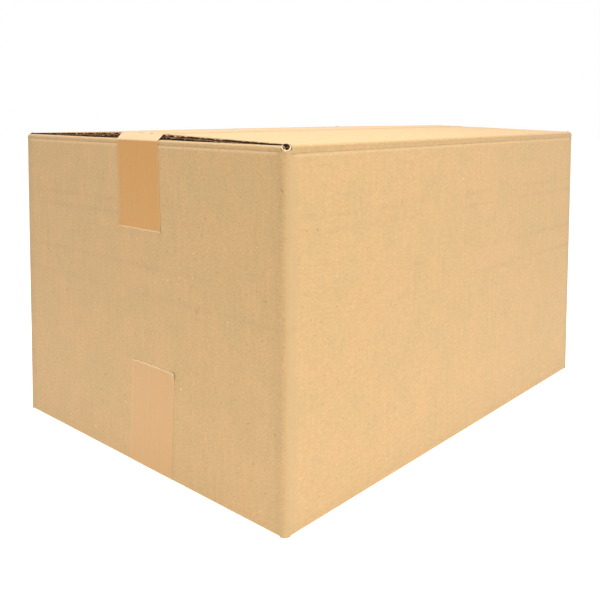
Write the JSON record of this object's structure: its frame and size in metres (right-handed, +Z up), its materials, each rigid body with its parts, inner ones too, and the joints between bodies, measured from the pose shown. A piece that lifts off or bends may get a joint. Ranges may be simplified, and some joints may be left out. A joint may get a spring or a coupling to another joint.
{
  "type": "corrugated carton",
  "caption": "Closed corrugated carton folded from a single blank, with flaps meeting along the middle and tan tape over the seams and down the end walls.",
  "frame": {"origin": "on the floor, under the middle of the carton", "axes": "+Z up, +X along the long side walls, +Y along the short end walls; the end wall and side wall that meet at the corner at -X and -Y face the picture's viewer"},
  "size_m": [0.4126, 0.3, 0.2406],
  "materials": {
    "kraft_board": "matte",
    "tan_tape": "satin"
  },
  "bodies": {
    "root": {"carton": "kraft_board", "tape_top": "tan_tape", "tape_bottom": "tan_tape"}
  },
  "joints": []
}
